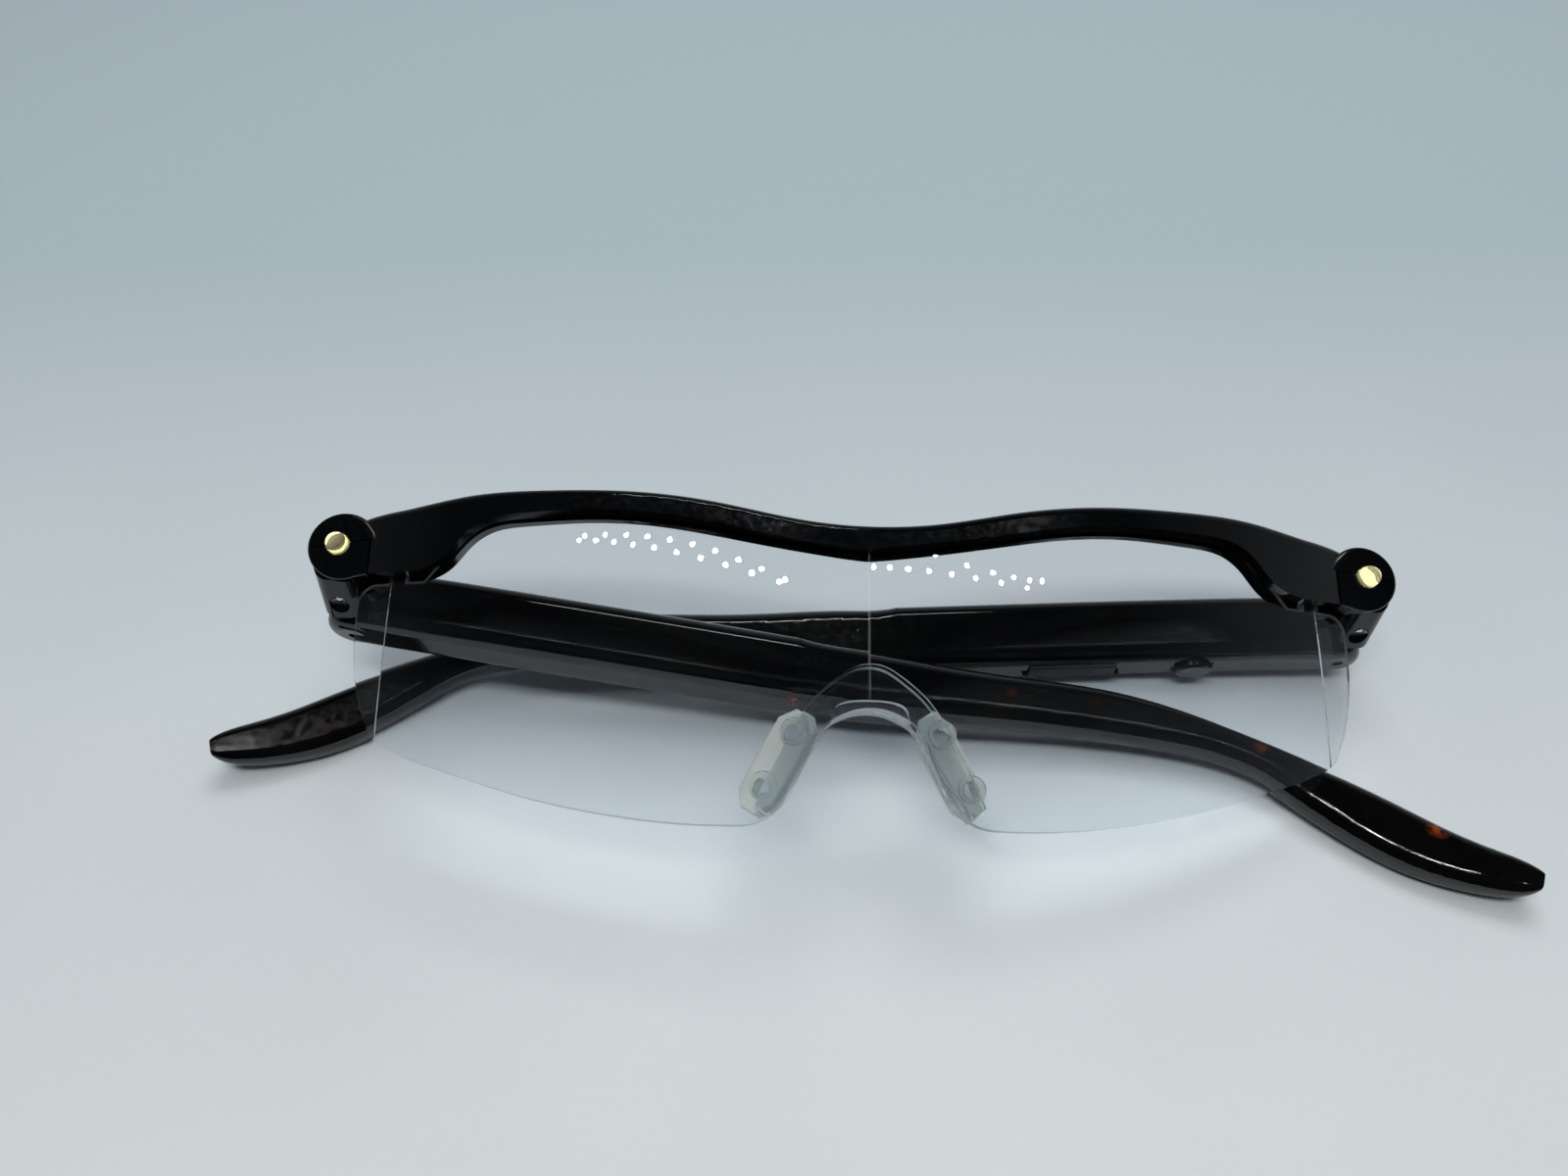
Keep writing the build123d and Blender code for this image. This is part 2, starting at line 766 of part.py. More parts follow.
def right_arm_cuts():
    """The button's hole and dish, the port cover's recess and the socket's mouth."""
    foot = -arm_tall / 2
    hole = post(button_r + button_fit, foot - overrun, 0)
    hole += post(button_dish_r, foot - overrun, foot + button_dish)
    edge = flap_wide / 2 + flap_gap
    reach = flap_long / 2 + flap_gap
    recess = along_box(flap_along - reach, flap_along + reach, arm_middle() - edge,
                       arm_middle() + edge, foot - overrun, flap_recess_top())
    mouth = extrude(socket_outline(socket_fit), amount=-arm_tall / 2)
    return (Pos(arm_middle(), button_along, 0) * hole + recess
            + Pos(arm_middle(), flap_along, 0) * mouth)


def right_arm():
    arm = arm_shell(cant_right) - right_arm_cuts()
    return arm + port_lugs() - port_pin()


def fold(shape, side, cant, angle):
    """Swings an arm's piece from straight back to its folded place."""
    if side < 0:
        shape = mirror(shape, Plane.YZ)
    tilt = math.radians(cant)
    axis = Axis((0, 0, 0), (-side * math.sin(tilt), 0, math.cos(tilt)))
    return Pos(side * pivot_x, pivot_y, pivot_z) * shape.rotate(axis, side * angle)


def front_pieces():
    """Browbar, lens, nose bracket, pads, head covers, lamps and cover screws."""
    bracket = nose_bracket()
    pieces = {"browbar": browbar(), "lens": lean(lens()), "nose_bracket": bracket}
    pads = nose_pads(bracket)
    domes = pair(lamp_dome())
    chips = pair(lamp_chip())
    boards = pair(lamp_board())
    for index, name in enumerate(("left", "right")):
        side = 2 * index - 1
        pieces["nose_pad_" + name] = pads[index]
        pieces["head_cover_" + name] = head_cover(side, (cant_left, cant_right)[index])
        pieces["lamp_dome_" + name] = lean(domes[index])
        pieces["lamp_chip_" + name] = lean(chips[index])
        pieces["lamp_board_" + name] = lean(boards[index])
    pieces["cover_screws"] = Compound(children=[lean(screw) for screw in pair(cover_screw())])
    return pieces


def left_arm_pieces():
    tilt = Rot(0, -cant_left, 0)
    return {
        "arm_left": arm_shell(cant_left),
        "arm_cover_left": arm_cover(),
        "hinge_pin_left": tilt * hinge_pin(),
        "battery_cell": battery_cell(),
        "battery_tabs": battery_tabs(),
    }


def right_arm_pieces():
    tilt = Rot(0, -cant_right, 0)
    return {
        "arm_right": right_arm(),
        "arm_cover_right": arm_cover(),
        "hinge_pin_right": tilt * hinge_pin(),
        "circuit_board": circuit_board(),
        "control_chip": control_chip(),
        "power_switch": power_switch(),
        "charge_socket": charge_socket(),
        "power_button": power_button(),
        "port_cover": port_cover(),
        "port_pin": port_pin(),
    }


def glasses():
    """Every piece in the worn frame, with both arms folded."""
    pieces = front_pieces()
    for name, shape in left_arm_pieces().items():
        pieces[name] = fold(shape, -1, cant_left, fold_left)
    for name, shape in right_arm_pieces().items():
        pieces[name] = fold(shape, 1, cant_right, fold_right)
    return pieces


def separate(shape):
    """A piece as its own solids, each standing at its final place."""
    return Compound(children=list(shape.solids()))


def laid_down(pieces):
    """Turns the worn pieces into the lying pose and sets them on the floor."""
    turn = Rot(0, lie_roll, 0) * Rot(lie_pitch, 0, 0)
    turned = {name: turn * shape for name, shape in pieces.items()}
    room = Compound(children=[copy.copy(shape) for shape in turned.values()]).bounding_box()
    shift = Pos(-room.center().X, -room.center().Y, -room.min.Z)
    return {name: separate(shift * shape) for name, shape in turned.items()}


os.makedirs("parts", exist_ok=True)
for name, shape in laid_down(glasses()).items():
    export_step(shape, "parts/" + name + ".step")
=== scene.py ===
# %% [markdown]
# # Lighted magnifier glasses
# The object is a pair of head-worn magnifying glasses: one wrap-round clear lens hangs in a wavy
# black browbar, a lamp sits at each end of the bar, and two arms fold away behind the lens.
# The solid model comes from CAD, so this script only dresses it: materials, small surface detail,
# floor, light and camera. Everything is in metres, in the CAD model's own frame.

# %% Load the frame
import math

import bpy
from mathutils import Matrix, Vector

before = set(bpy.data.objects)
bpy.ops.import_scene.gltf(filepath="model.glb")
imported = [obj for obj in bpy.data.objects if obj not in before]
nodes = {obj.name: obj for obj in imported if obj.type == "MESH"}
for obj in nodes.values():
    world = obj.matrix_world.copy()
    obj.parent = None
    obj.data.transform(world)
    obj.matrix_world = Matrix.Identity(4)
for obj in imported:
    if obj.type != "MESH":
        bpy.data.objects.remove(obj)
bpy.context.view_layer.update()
MM = 0.001

# %% [markdown]
# ## Camera
# A photograph fixes a camera in seven numbers: its place, three turns and its focal length. They
# were solved from the object itself: the two lamps, the hinges, the lens edge and the folded arms
# are known in CAD, so the camera that puts them all on their marks is the photographer's.
# The turns are given the way a person would aim: turn left, tip down, then roll.

# %% Camera
camera_place = Vector((-6.752, -101.555, 146.677)) * MM
camera_turn = math.radians(0.568)
camera_dip = math.radians(46.95)
camera_roll = math.radians(-1.104)
focal_mm = 27.615
sensor_mm = 36.0
nearest_seen = 0.01

camera_data = bpy.data.cameras.new("photo_camera")
camera_data.sensor_fit = "HORIZONTAL"
camera_data.sensor_width = sensor_mm
camera_data.lens = focal_mm
camera_data.clip_start = nearest_seen
camera = bpy.data.objects.new("photo_camera", camera_data)
bpy.context.scene.collection.objects.link(camera)
aim = (Matrix.Rotation(camera_turn, 3, "Z") @ Matrix.Rotation(math.pi / 2 - camera_dip, 3, "X")
       @ Matrix.Rotation(camera_roll, 3, "Z"))
camera.matrix_world = Matrix.LocRotScale(camera_place, aim.to_quaternion(), None)
bpy.context.scene.camera = camera
bpy.context.scene.view_settings.view_transform = "Standard"
print("camera at", camera_place[:], "looking", (aim @ Vector((0, 0, -1)))[:])

# %% [markdown]
# ## From a pixel to a direction
# Some small things, such as a dot of light, are easier to find in the photograph than to measure.
# With the camera known, a pixel gives a direction, and a ray along it finds the place in space.

# %% Rays through pixels
photo_width = 1600
photo_height = 1200


def pixel_ray(column, row):
    """The direction in the world that a pixel of the photograph looks along."""
    focal_pixels = focal_mm / sensor_mm * photo_width
    across = (column - photo_width / 2) / focal_pixels
    up = (photo_height / 2 - row) / focal_pixels
    return (aim @ Vector((across, up, -1))).normalized()


print("the photograph's top left looks along", pixel_ray(0, 0)[:])

# %% [markdown]
# ## Helpers for materials
# Colours are written as they would be picked from a screen, as sRGB hex values, and turned to the
# linear values that the renderer needs. A pattern is scaled by the real size of its lumps, in
# millimetres. One function adds a node with its settings and links and gives back the output that
# is used next, so that each material below reads as a short recipe.
#
# Some inputs of a node share one name, such as the two values of a sum. Those are named by their
# number: _0 is the first. A mix of two colours has its factor at _0, the colours at _6 and _7,
# and its result at _2.

# %% Material helpers
colour_mix = {"data_type": "RGBA"}


def linear(code):
    """An sRGB hex colour as linear red, green, blue and alpha."""
    channels = [int(code[i:i + 2], 16) / 255 for i in (1, 3, 5)]
    curve = [c / 12.92 if c <= 0.04045 else ((c + 0.055) / 1.055) ** 2.4 for c in channels]
    return (*curve, 1.0)


def per_mm(size_mm):
    """The scale of a pattern whose lumps are the given size."""
    return 1 / (size_mm * MM)


def find_socket(sockets, name):
    """A socket by its name, or by its number where the name is like _0."""
    number = name[1:]
    return sockets[int(number)] if number.isdigit() else sockets[name.replace("_", " ")]


def add_node(material, kind, give, settings=None, **links):
    """Adds a node, sets its properties and inputs, links the others, and returns one output."""
    node = material.node_tree.nodes.new("ShaderNode" + kind)
    for name, value in (settings or {}).items():
        if hasattr(node, name):
            setattr(node, name, value)
        else:
            find_socket(node.inputs, name).default_value = value
    for name, source in links.items():
        socket = find_socket(node.inputs, name)
        if isinstance(source, bpy.types.NodeSocket):
            material.node_tree.links.new(source, socket)
        else:
            socket.default_value = source
    return find_socket(node.outputs, give) if give else node


def new_material(name):
    """An empty material, and the object's own coordinates, which place its patterns."""
    material = bpy.data.materials.new(name)
    material.use_nodes = True
    material.node_tree.nodes.clear()
    return material, add_node(material, "TexCoord", "Object")


print("mid grey is", round(linear("#808080")[0], 3), "of white, and 2 mm lumps scale", per_mm(2))

# %% [markdown]
# ## Floor
# The glasses lie on a sheet of white paper in a light tent. A finely divided mesh could carry
# ripples, but the sheet is flat where they lie, and its fibres are a matter for the material. So
# one flat face is enough, and it reaches far enough to be under the object in every view.

# %% Floor
floor_half = 1.0

floor_mesh = bpy.data.meshes.new("paper_floor")
floor_corners = [(-floor_half, -floor_half, 0), (floor_half, -floor_half, 0),
                 (floor_half, floor_half, 0), (-floor_half, floor_half, 0)]
floor_mesh.from_pydata(floor_corners, [], [(0, 1, 2, 3)])
floor = bpy.data.objects.new("paper_floor", floor_mesh)
bpy.context.scene.collection.objects.link(floor)
print("floor reaches", floor_half, "m each way")

# %% [markdown]
# ## White paper
# The paper looks pale blue-grey, since the camera's white balance is cool. It is darker and a
# little bluer behind the glasses than before them, where the light falls off, and that is painted
# shade in
# its colour. Paper has no gloss: rough fibres scatter the light, so its roughness is close to 1.
# Single fibres are too fine to show here, so they are drawn as clumps of 1.5 mm, and large soft
# clouds keep the sheet from one flat tone.

# %% White paper
fibre_clump_mm = 1.5
cloud_mm = 90.0
soft_patches = {"From_Min": 0.35, "From_Max": 0.65}
painted_falloff_span = {"From_Min": -0.05, "From_Max": 0.14}
fibre_share = 0.08

paper, place = new_material("white_paper")
fibre = add_node(paper, "TexNoise", "Fac", {"Scale": per_mm(fibre_clump_mm), "Detail": 4.0},
                 Vector=place)
cloud = add_node(paper, "TexNoise", "Fac", {"Scale": per_mm(cloud_mm), "Detail": 2.0},
                 Vector=place)
patches = add_node(paper, "MapRange", "Result", soft_patches, Value=cloud)
tone = add_node(paper, "Mix", "_2", colour_mix, _0=patches, _6=linear("#cad0d2"),
                _7=linear("#d0d6d8"))
# Painted shade: the paper turns darker and bluer towards the back, where the light falls off.
depth = add_node(paper, "SeparateXYZ", "Y", Vector=place)
painted_falloff = add_node(paper, "MapRange", "Result", painted_falloff_span, Value=depth)
tone = add_node(paper, "Mix", "_2", colour_mix, _0=painted_falloff, _6=tone, _7=linear("#a8b6be"))
speckle = add_node(paper, "MapRange", "Result", {"To_Max": fibre_share}, Value=fibre)
tone = add_node(paper, "Mix", "_2", colour_mix, _0=speckle, _6=tone, _7=linear("#aab4c2"))
relief = add_node(paper, "Bump", "Normal", {"Strength": 0.08, "Distance": 0.1 * MM}, Height=fibre)
surface = add_node(paper, "BsdfPrincipled", "BSDF", {"Roughness": 0.95}, Base_Color=tone,
                   Normal=relief)
add_node(paper, "OutputMaterial", None, Surface=surface)
floor_mesh.materials.append(paper)
print("made", paper.name)

# %% [markdown]
# ## Lamps
# A light tent gives broad, soft light from above, so shadows are pale and edges fade slowly. One
# lamp could make it as bright, but a lamp's size sets how soft its shadows are, and there are two
# kinds here. So there are two lamps overhead: a wide one behind, whose soft shadows fall forward,
# and a narrow one in front, whose shadows have a crisper edge. The bright ceiling cloth adds even
# light from all over, which is a sun with a very wide disc here. In a real tent the lamps stand
# behind cloth, so these are hidden from glossy surfaces, which don't mirror them as hard squares.

# %% Lamps
lamp_target = Vector((0, 0, 0.02))
ceiling_spread = math.radians(60)


def tent_lamp(name, kind, power):
    """A lamp that lights the scene and is neither mirrored nor seen through the lens."""
    data = bpy.data.lights.new(name, kind)
    data.energy = power
    lamp = bpy.data.objects.new(name, data)
    lamp.visible_glossy = False
    lamp.visible_transmission = False
    bpy.context.scene.collection.objects.link(lamp)
    return lamp


def softbox(name, place, wide, deep, power, colour):
    """A flat lamp at a place, turned to the object."""
    lamp = tent_lamp(name, "AREA", power)
    lamp.data.shape = "RECTANGLE"
    lamp.data.size = wide
    lamp.data.size_y = deep
    lamp.data.color = linear(colour)[:3]
    turn = (lamp_target - Vector(place)).to_track_quat("-Z", "Y")
    lamp.matrix_world = Matrix.LocRotScale(Vector(place), turn, None)


softbox("front_softbox", place=(-0.05, -0.30, 0.8), wide=0.5, deep=0.14, power=3.2,
        colour="#fffefb")
softbox("rear_softbox", place=(0.1, 0.45, 0.8), wide=0.55, deep=0.4, power=3.0,
        colour="#fdfeff")
ceiling = tent_lamp("tent_ceiling", "SUN", power=0.95)
ceiling.data.angle = ceiling_spread

# %% [markdown]
# ## Tent walls
# The world adds the light of the white walls, and glossy plastic reflects those walls as soft grey
# bands. The tent is open and darker straight overhead and in front, where the photographer stands,
# which keeps the black parts black. The camera itself sees a pale wall all round.

# %% Tent walls
wall_strength = 0.48
overhead_from = {"From_Min": 0.25, "From_Max": 0.75}
front_from = {"From_Min": -0.15, "From_Max": -0.6}

world = bpy.data.worlds.new("tent_walls")
bpy.context.scene.world = world
world.use_nodes = True
background = world.node_tree.nodes["Background"]
background.inputs["Strength"].default_value = wall_strength
height = add_node(world, "SeparateXYZ", "Z", Vector=add_node(world, "TexCoord", "Generated"))
overhead = add_node(world, "MapRange", "Result", overhead_from, Value=height)
wall = add_node(world, "Mix", "_2", colour_mix, _0=overhead, _6=linear("#c6ced6"),
                _7=linear("#202428"))
in_front = add_node(world, "MapRange", "Result", front_from, Value=height.node.outputs["Y"])
wall = add_node(world, "Mix", "_2", colour_mix, _0=in_front, _6=wall, _7=linear("#2c3034"))
seen = add_node(world, "LightPath", "Is Camera Ray")
wall = add_node(world, "Mix", "_2", colour_mix, _0=seen, _6=wall, _7=linear("#dce1e5"))
world.node_tree.links.new(wall, background.inputs["Color"])
print("walls at strength", wall_strength)

# %% [markdown]
# ## Lights that only show in reflections
# Small bright lights draw dots and lines on glossy plastic. Here they are glowing faces that
# neither the camera nor the floor sees. They light nothing, so colours stay as they are written.

# %% Glowing faces
white = linear("#ffffff")


def glowing(name, strength):
    """A material that gives off white light."""
    material, _place = new_material(name)
    light = add_node(material, "Emission", "Emission", {"Strength": strength}, Color=white)
    add_node(material, "OutputMaterial", None, Surface=light)
    return material


def reflected_light(name, corners, faces, material):
    """A glowing mesh that is seen in reflections alone."""
    mesh = bpy.data.meshes.new(name)
    mesh.from_pydata(corners, [], faces)
    mesh.materials.append(material)
    light = bpy.data.objects.new(name, mesh)
    bpy.context.scene.collection.objects.link(light)
    light.visible_camera = False
    light.visible_diffuse = False
    light.visible_shadow = False
    return light


print("white light is", white)

# %% [markdown]
# ## The dots of light on the lens
# The tent's ceiling holds strips of small light-emitting diodes. The lens mirrors them as two rows
# of dots under the browbar. To put them where they belong, a ray goes from the camera through the
# start, middle and end of a row in the photograph, meets the lens, and is mirrored up to the
# ceiling. The diodes are then spaced evenly along the curve through the three places that this
# gives. They are hidden from rays that went through the lens, so its outer surfaces alone mirror
# them.

# %% Diode strips on the ceiling
ceiling_height = 0.5
diode_radius = 0.003
diode_sides = 12
diode_strength = 300.0
strip_marks = {
    "strip_left_back": (((604, 543), (697, 560), (804, 594)), 10),
    "strip_left_front": (((591, 552), (683, 566), (792, 598)), 10),
    "strip_right_back": (((951, 572), (1019, 584), (1064, 594)), 6),
    "strip_right_front": (((896, 577), (960, 584), (1051, 600)), 8),
}


def mirrored_to_ceiling(column, row):
    """Where a camera ray through a pixel goes after the lens mirrors it."""
    ray = pixel_ray(column, row)
    _hit, point, normal, _face = nodes["lens"].ray_cast(camera_place, ray)
    bounced = ray - 2 * ray.dot(normal) * normal
    return point + bounced * ((ceiling_height - point.z) / bounced.z)


def bend(points, share):
    """A point on the curve through three points, at a share of the way along."""
    first, middle, last = points
    bow = middle - first.lerp(last, 0.5)
    return first.lerp(last, share) + 4 * share * (1 - share) * bow


def diode_strip(name, points, count, material):
    """Small glowing discs, facing down, evenly spaced along a curve on the ceiling."""
    corners, faces = [], []
    for index in range(count):
        middle = bend(points, index / (count - 1))
        start = len(corners)
        for corner in range(diode_sides):
            turn = 2 * math.pi * corner / diode_sides
            offset = Vector((math.cos(turn), math.sin(turn), 0)) * diode_radius
            corners.append(middle + offset)
        faces.append(tuple(range(start, start + diode_sides)))
    strip = reflected_light(name, corners, faces, material)
    strip.visible_transmission = False


diode_glow = glowing("diode_glow", diode_strength)
for name, (marks, count) in strip_marks.items():
    points = [mirrored_to_ceiling(*mark) for mark in marks]
    diode_strip(name, points, count, diode_glow)
    print(name, count, "diodes:", [tuple(round(c, 3) for c in point) for point in points])

# %% [markdown]
# ## A strip light behind
# A narrow strip light hangs at the back of the tent. It is far from where the lens mirrors, but
# a rounded edge mirrors every direction somewhere, so the strip draws a thin white line along the
# arms and a glint on each tip. The arms lie behind the lens, so this light does show through it.

# %% Strip light behind
tube_middle = Vector((-0.06, 0.31, 0.62))
tube_half = Vector((0.16, 0.0, 0.0))
tube_across = Vector((0.0, -0.011, 0.006))
tube_strength = 12.0

near_start = tube_middle - tube_half - tube_across
near_end = tube_middle + tube_half - tube_across
far_start = tube_middle - tube_half + tube_across
far_end = tube_middle + tube_half + tube_across
tube = reflected_light("strip_behind", [near_start, near_end, far_end, far_start],
                       [(0, 1, 2, 3)], glowing("tube_glow", tube_strength))
print("strip light at", tube_middle[:])

# %% [markdown]
# ## Moulded plastic
# Both black plastics come out of a polished mould, and share how their skin behaves. Handling
# leaves hair-fine scratches, which show as slightly rougher patches, the skin has a very faint
# ripple, and dust lies on it as pale specks. Real dust is finer: here a speck is drawn about half
# a millimetre across, so that it shows.

# %% Moulded skin
speck_edge = {"From_Min": 0.16, "From_Max": 0.08}
speck_fade = 0.02
ripple_depth = 0.2 * MM


def specks(material, place, spacing_mm, cover):
    """Sparse dots: 1 on a speck, 0 elsewhere. A smaller cover gives fewer specks."""
    away = add_node(material, "TexVoronoi", "Distance", {"Scale": per_mm(spacing_mm)},
                    Vector=place)
    dot = add_node(material, "MapRange", "Result", speck_edge, Value=away)
    few = {"From_Min": 1 - cover, "From_Max": 1 - cover + speck_fade}
    chosen = add_node(material, "MapRange", "Result", few, Value=away.node.outputs["Color"])
    return add_node(material, "Math", "Value", {"operation": "MULTIPLY"}, _0=dot, _1=chosen)


def moulded_skin(material, place, shade, dust, index, wear_mm, smooth, dull, ripple_mm, relief):
    """Ends a moulded plastic: its wear, from smooth to dull, dust, ripple and gloss."""
    wear = add_node(material, "TexNoise", "Fac", {"Scale": per_mm(wear_mm), "Detail": 5.0},
                    Vector=place)
    worn = {"From_Min": 0.3, "From_Max": 0.8, "To_Min": smooth, "To_Max": dull}
    rough = add_node(material, "MapRange", "Result", worn, Value=wear)
    dusty = add_node(material, "Math", "Value", {"operation": "MAXIMUM"}, _0=rough, _1=dust)
    ripple = add_node(material, "TexNoise", "Fac", {"Scale": per_mm(ripple_mm), "Detail": 1.0},
                      Vector=place)
    bumps = add_node(material, "Bump", "Normal", {"Strength": relief, "Distance": ripple_depth},
                     Height=ripple)
    surface = add_node(material, "BsdfPrincipled", "BSDF", {"IOR": index}, Base_Color=shade,
                       Roughness=dusty, Normal=bumps)
    add_node(material, "OutputMaterial", None, Surface=surface)


print("ripple", ripple_depth / MM, "mm deep at most")

# %% [markdown]
# ## Glossy black ABS: browbar and lamp heads
# The bar is injection-moulded ABS, a deep black mirror with an index of refraction of 1.53. One
# black would do from afar, but the plastic flowed into the mould in tongues about 14 mm long, and
# that leaves two blacks that differ only just.

# %% Glossy ABS
abs_flow_mm = 14.0
abs_speck_spacing_mm = 2.2
speck_cover = 0.05

gloss_abs, place = new_material("gloss_abs")
flow = add_node(gloss_abs, "TexNoise", "Fac", {"Scale": per_mm(abs_flow_mm), "Detail": 3.0},
                Vector=place)
flow = add_node(gloss_abs, "MapRange", "Result", soft_patches, Value=flow)
dust = specks(gloss_abs, place, abs_speck_spacing_mm, speck_cover)
shade = add_node(gloss_abs, "Mix", "_2", colour_mix, _0=flow, _6=linear("#040506"),
                 _7=linear("#07080a"))
shade = add_node(gloss_abs, "Mix", "_2", colour_mix, _0=dust, _6=shade, _7=linear("#8f969c"))
moulded_skin(gloss_abs, place, shade, dust, index=1.53, wear_mm=0.9, smooth=0.04, dull=0.12,
             ripple_mm=5.0, relief=0.05)
print("made", gloss_abs.name)

# %% [markdown]
# ## Smoke-black polycarbonate: the arms
# The arms are a very dark smoke-tinted polycarbonate, index 1.58. Where light gets behind a thin
# edge, the tint shows as a dark amber glint, most of all near the tips. Here that glint is painted
# light: an amber colour that noise lets through in a few small places. The photograph shows two
# brighter glints on the left arm, so rays through those pixels find their places on its surface,
# and brighter amber is painted there as two glints.

# %% Smoke polycarbonate
smoke_flow_mm = 11.0
smoke_speck_spacing_mm = 2.4
amber_glint_mm = 7.0
painted_glint_marks = ((1467, 845), (806, 716))
painted_glint_mm = 1.8
painted_glint_break_mm = 0.9
painted_amber_glints = {"From_Min": 0.70, "From_Max": 0.78, "To_Max": 0.7}
broken_edge = {"From_Min": 0.40, "From_Max": 0.60}


def painted_glint(material, place, mark):
    """Painted glint: 1 where a pixel's ray meets the left arm, fading to 0 with a broken edge."""
    _hit, spot, _normal, _face = nodes["arm_left"].ray_cast(camera_place, pixel_ray(*mark))
    print("glint at", tuple(round(c, 4) for c in spot))
    away = add_node(material, "VectorMath", "Value", {"operation": "DISTANCE"}, _0=place, _1=spot)
    fade = {"From_Min": painted_glint_mm * MM, "From_Max": 0}
    patch = add_node(material, "MapRange", "Result", fade, Value=away)
    noise = add_node(material, "TexNoise", "Fac", {"Scale": per_mm(painted_glint_break_mm), "Detail": 2.0},
                     Vector=place)
    broken = add_node(material, "MapRange", "Result", broken_edge, Value=noise)
    return add_node(material, "Math", "Value", {"operation": "MULTIPLY"}, _0=patch, _1=broken)


smoke, place = new_material("smoke_polycarbonate")
flow = add_node(smoke, "TexNoise", "Fac", {"Scale": per_mm(smoke_flow_mm), "Detail": 3.0},
                Vector=place)
flow = add_node(smoke, "MapRange", "Result", soft_patches, Value=flow)
shade = add_node(smoke, "Mix", "_2", colour_mix, _0=flow, _6=linear("#030304"),
                 _7=linear("#070706"))
# Painted glints: amber colour where light would come through a thin edge.
painted_amber = add_node(smoke, "TexNoise", "Fac", {"Scale": per_mm(amber_glint_mm), "Detail": 2.0},
                 Vector=place)
painted_amber = add_node(smoke, "MapRange", "Result", painted_amber_glints, Value=painted_amber)
shade = add_node(smoke, "Mix", "_2", colour_mix, _0=painted_amber, _6=shade, _7=linear("#4a2408"))
# Two brighter painted glints at the marked places.
for mark in painted_glint_marks:
    glint_paint = painted_glint(smoke, place, mark)
    shade = add_node(smoke, "Mix", "_2", colour_mix, _0=glint_paint, _6=shade, _7=linear("#8a3c14"))
dust = specks(smoke, place, smoke_speck_spacing_mm, speck_cover)
shade = add_node(smoke, "Mix", "_2", colour_mix, _0=dust, _6=shade, _7=linear("#848a8e"))
moulded_skin(smoke, place, shade, dust, index=1.58, wear_mm=1.1, smooth=0.05, dull=0.13,
             ripple_mm=6.0, relief=0.06)
print("made", smoke.name)

# %% [markdown]
# ## The lens's rim and middle line
# The rim is the rough edge that the cutter left. It scatters light, so it shows as a thin bright
# line round the lens, and so does the hairline down the middle, where two eye zones meet. A face
# belongs to the rim when it doesn't look along the lens's axis. The middle line is the plane
# midway between the two lamps.

# %% Rim and middle line
lens_axis = (-0.060, 0.327, -0.943)
rim_edge = {"From_Min": 0.7, "From_Max": 0.4}
line_mm = 0.25


def rim_share(material):
    """1 on the narrow rim of a sheet that lies as the lens does, 0 on its two faces."""
    normal = add_node(material, "TexCoord", "Normal")
    facing = add_node(material, "VectorMath", "Value", {"operation": "DOT_PRODUCT"}, _0=normal,
                      _1=lens_axis)
    flat = add_node(material, "Math", "Value", {"operation": "ABSOLUTE"}, _0=facing)
    return add_node(material, "MapRange", "Result", rim_edge, Value=flat)


def box_middle(node):
    """The middle of a node's box."""
    corners = [Vector(corner) for corner in node.bound_box]
    return sum(corners, Vector()) / len(corners)


def middle_line(material, place):
    """1 on the plane midway between the lamps, fading to 0 within the line's half width."""
    left, right = [box_middle(nodes[name]) for name in ("lamp_dome_left", "lamp_dome_right")]
    offset = add_node(material, "VectorMath", "Vector", {"operation": "SUBTRACT"}, _0=place,
                      _1=(left + right) / 2)
    across = add_node(material, "VectorMath", "Value", {"operation": "DOT_PRODUCT"}, _0=offset,
                      _1=(right - left).normalized())
    away = add_node(material, "Math", "Value", {"operation": "ABSOLUTE"}, _0=across)
    fade = {"From_Min": line_mm / 2 * MM, "From_Max": 0}
    return add_node(material, "MapRange", "Result", fade, Value=away)


print("lamps at", [box_middle(nodes[name])[:] for name in ("lamp_dome_left", "lamp_dome_right")])

# %% [markdown]
# ## How clear plastic passes light
# Acrylic and polycarbonate let nearly all light through. A renderer's plain glass casts a black
# shadow, because straight shadow rays can't pass it, while a real clear lens only dims the floor
# by a tenth. So a shadow ray meets a nearly white transparent veil instead, and all other rays
# meet the real surface. The rim bends light right out of its path, so on the rim the veil is
# darker than on the faces.
#
# The soft silicone of the pads scatters light all through, which makes it milky: the clarity is
# the share of light that goes straight through a material. Frost is how much of the rim's light
# is scattered, and line frost is the same for the middle line.

# %% Clear plastic
haze = {"From_Min": 0.45, "From_Max": 0.75}
scattering = {"Base_Color": linear("#eef2f5"), "Roughness": 0.9}
clear_dust_mm = 2.6


